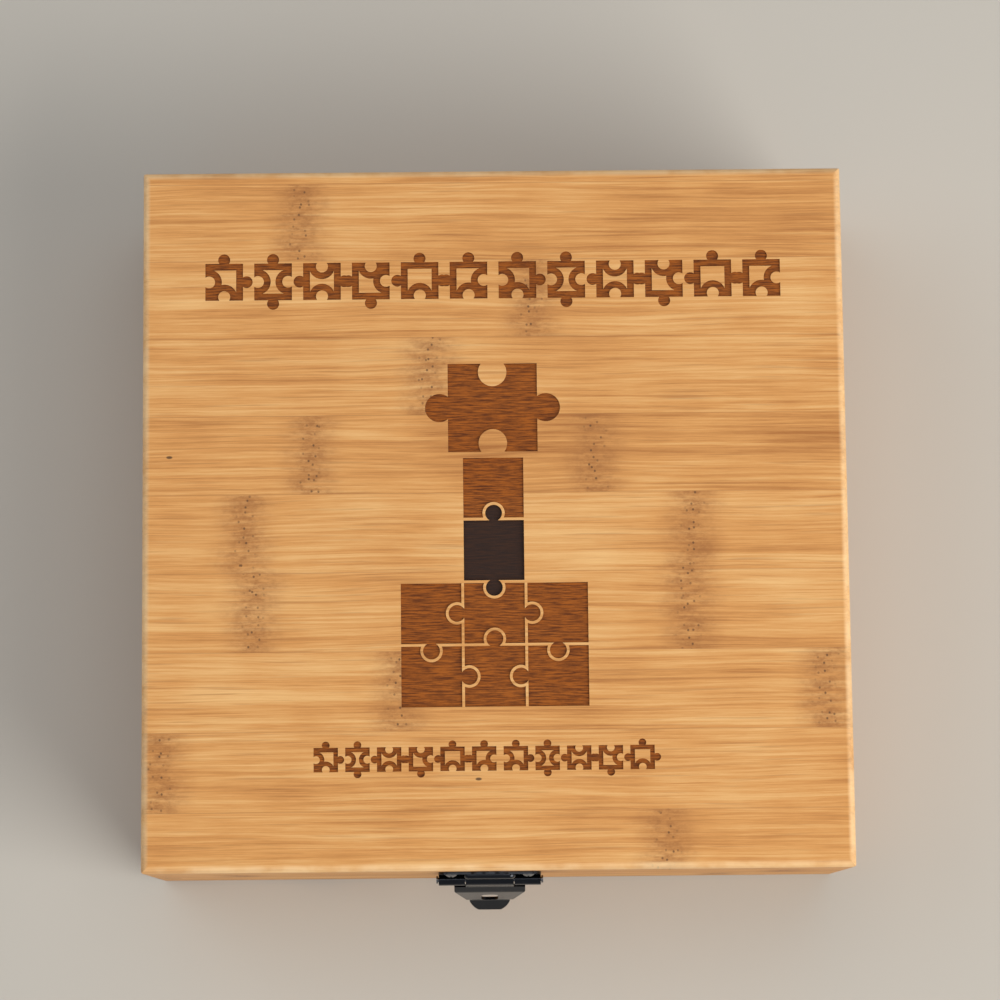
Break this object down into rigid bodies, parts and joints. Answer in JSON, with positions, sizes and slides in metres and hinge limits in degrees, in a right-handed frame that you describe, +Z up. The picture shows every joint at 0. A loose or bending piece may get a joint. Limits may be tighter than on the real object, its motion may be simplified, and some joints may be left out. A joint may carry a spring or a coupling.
{
  "type": "boxed jigsaw puzzle",
  "caption": "Square hinged bamboo box with an engraved lid and a metal front clasp, holding loose interlocking jigsaw pieces.",
  "frame": {"origin": "centre of the box's flat underside", "axes": "+Z up through the lid, front with the clasp towards -Y, hinges at +Y, +X to the right of someone who faces the clasp"},
  "size_m": [0.205, 0.219, 0.072],
  "materials": {
    "bamboo": "edge-glued bamboo strips, clear satin lacquer, laser-burnt recesses on the lid",
    "black_metal": "gun-black plated stamped sheet steel, glossy",
    "screw_metal": "gun-black plated steel",
    "puzzle_board": "die-cut board, printed and varnished on one side, plain on the other",
    "piece_heap": "heap of die-cut board pieces"
  },
  "bodies": {
    "base": {"base_panel": "bamboo", "base_front_wall": "bamboo", "base_back_wall": "bamboo", "base_left_wall": "bamboo", "base_right_wall": "bamboo", "left_hinge_base_leaf": "black_metal", "right_hinge_base_leaf": "black_metal", "left_hinge_pin": "black_metal", "right_hinge_pin": "black_metal", "hinge_base_screws": "screw_metal", "catch_plate": "black_metal", "catch_stud": "black_metal", "catch_screws": "screw_metal", "settled_pieces": "piece_heap", "corner_pieces": "puzzle_board", "edge_pieces": "puzzle_board", "picture_up_pieces": "puzzle_board", "picture_down_pieces": "puzzle_board"},
    "lid": {"lid_panel": "bamboo", "lid_front_rail": "bamboo", "lid_back_rail": "bamboo", "lid_left_rail": "bamboo", "lid_right_rail": "bamboo", "left_hinge_lid_leaf": "black_metal", "right_hinge_lid_leaf": "black_metal", "hinge_lid_screws": "screw_metal", "hasp_plate": "black_metal", "hasp_pin": "black_metal", "hasp_screws": "screw_metal"},
    "hasp": {"hasp_tongue": "black_metal"}
  },
  "joints": [
    {"name": "lid_hinge", "type": "hinge", "parent": "base", "child": "lid", "pos_m": [0, 0.1045, 0.05], "axis": [-1, 0, 0], "range_deg": [0, 180]},
    {"name": "hasp_pivot", "type": "hinge", "parent": "lid", "child": "hasp", "pos_m": [-0.0026, -0.1045, 0.0528], "axis": [-1, 0, 0], "range_deg": [-12.2, 120]}
  ]
}
